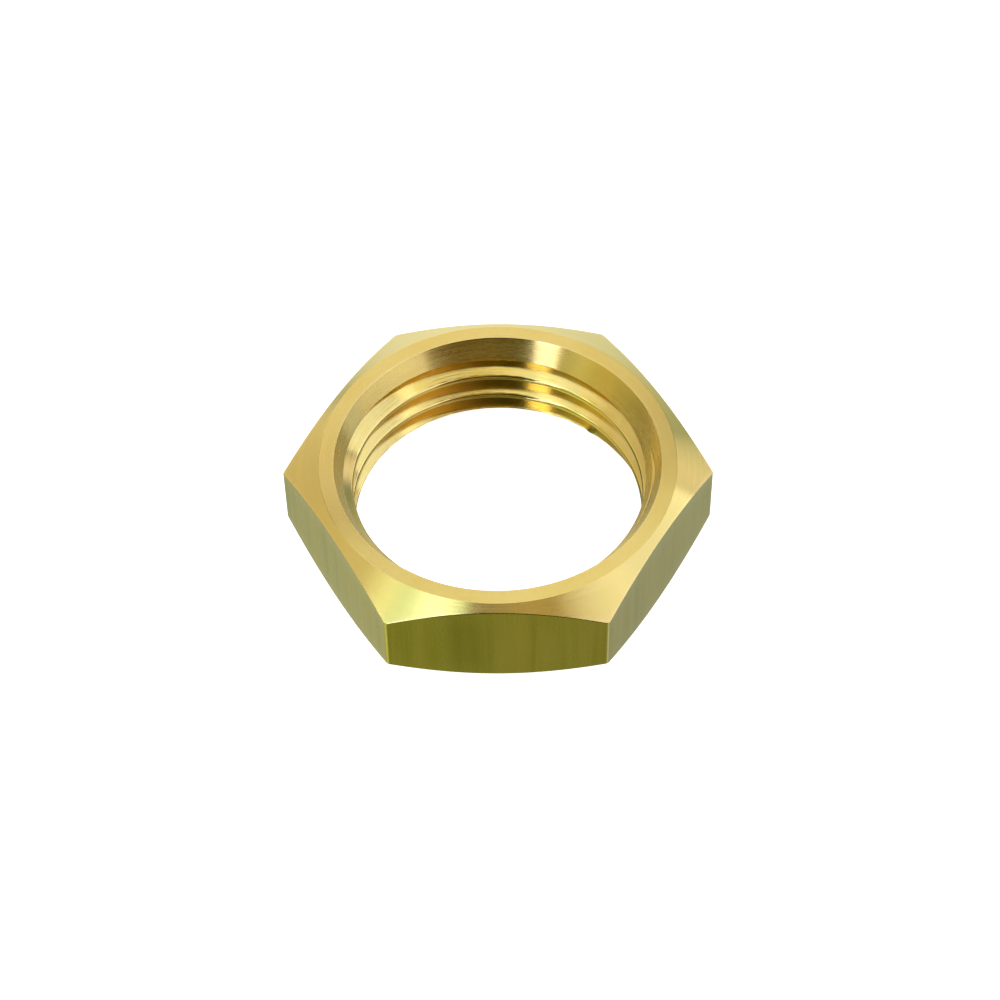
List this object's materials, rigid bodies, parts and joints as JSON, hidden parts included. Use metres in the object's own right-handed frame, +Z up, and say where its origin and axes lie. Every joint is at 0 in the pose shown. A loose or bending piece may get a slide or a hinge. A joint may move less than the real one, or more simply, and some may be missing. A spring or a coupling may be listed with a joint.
{
  "type": "hexagonal pipe thread back nut",
  "caption": "Thin hexagonal brass back nut with chamfered faces and a countersunk parallel pipe thread, for clamping a threaded tail or fitting to a panel or tank wall.",
  "frame": {"origin": "centre of the lower ring face, on the thread axis", "axes": "+Z up along the thread axis; +Y and -Y are the normals of two opposite flats; two corners of the hexagon lie on X"},
  "size_m": [0.0276, 0.024, 0.007],
  "materials": {
    "turned_brass": "fine turned on faces, chamfers and countersinks, drawn on the flats, bright unplated"
  },
  "bodies": {
    "root": {"fixing_nut": "turned_brass"}
  },
  "joints": []
}
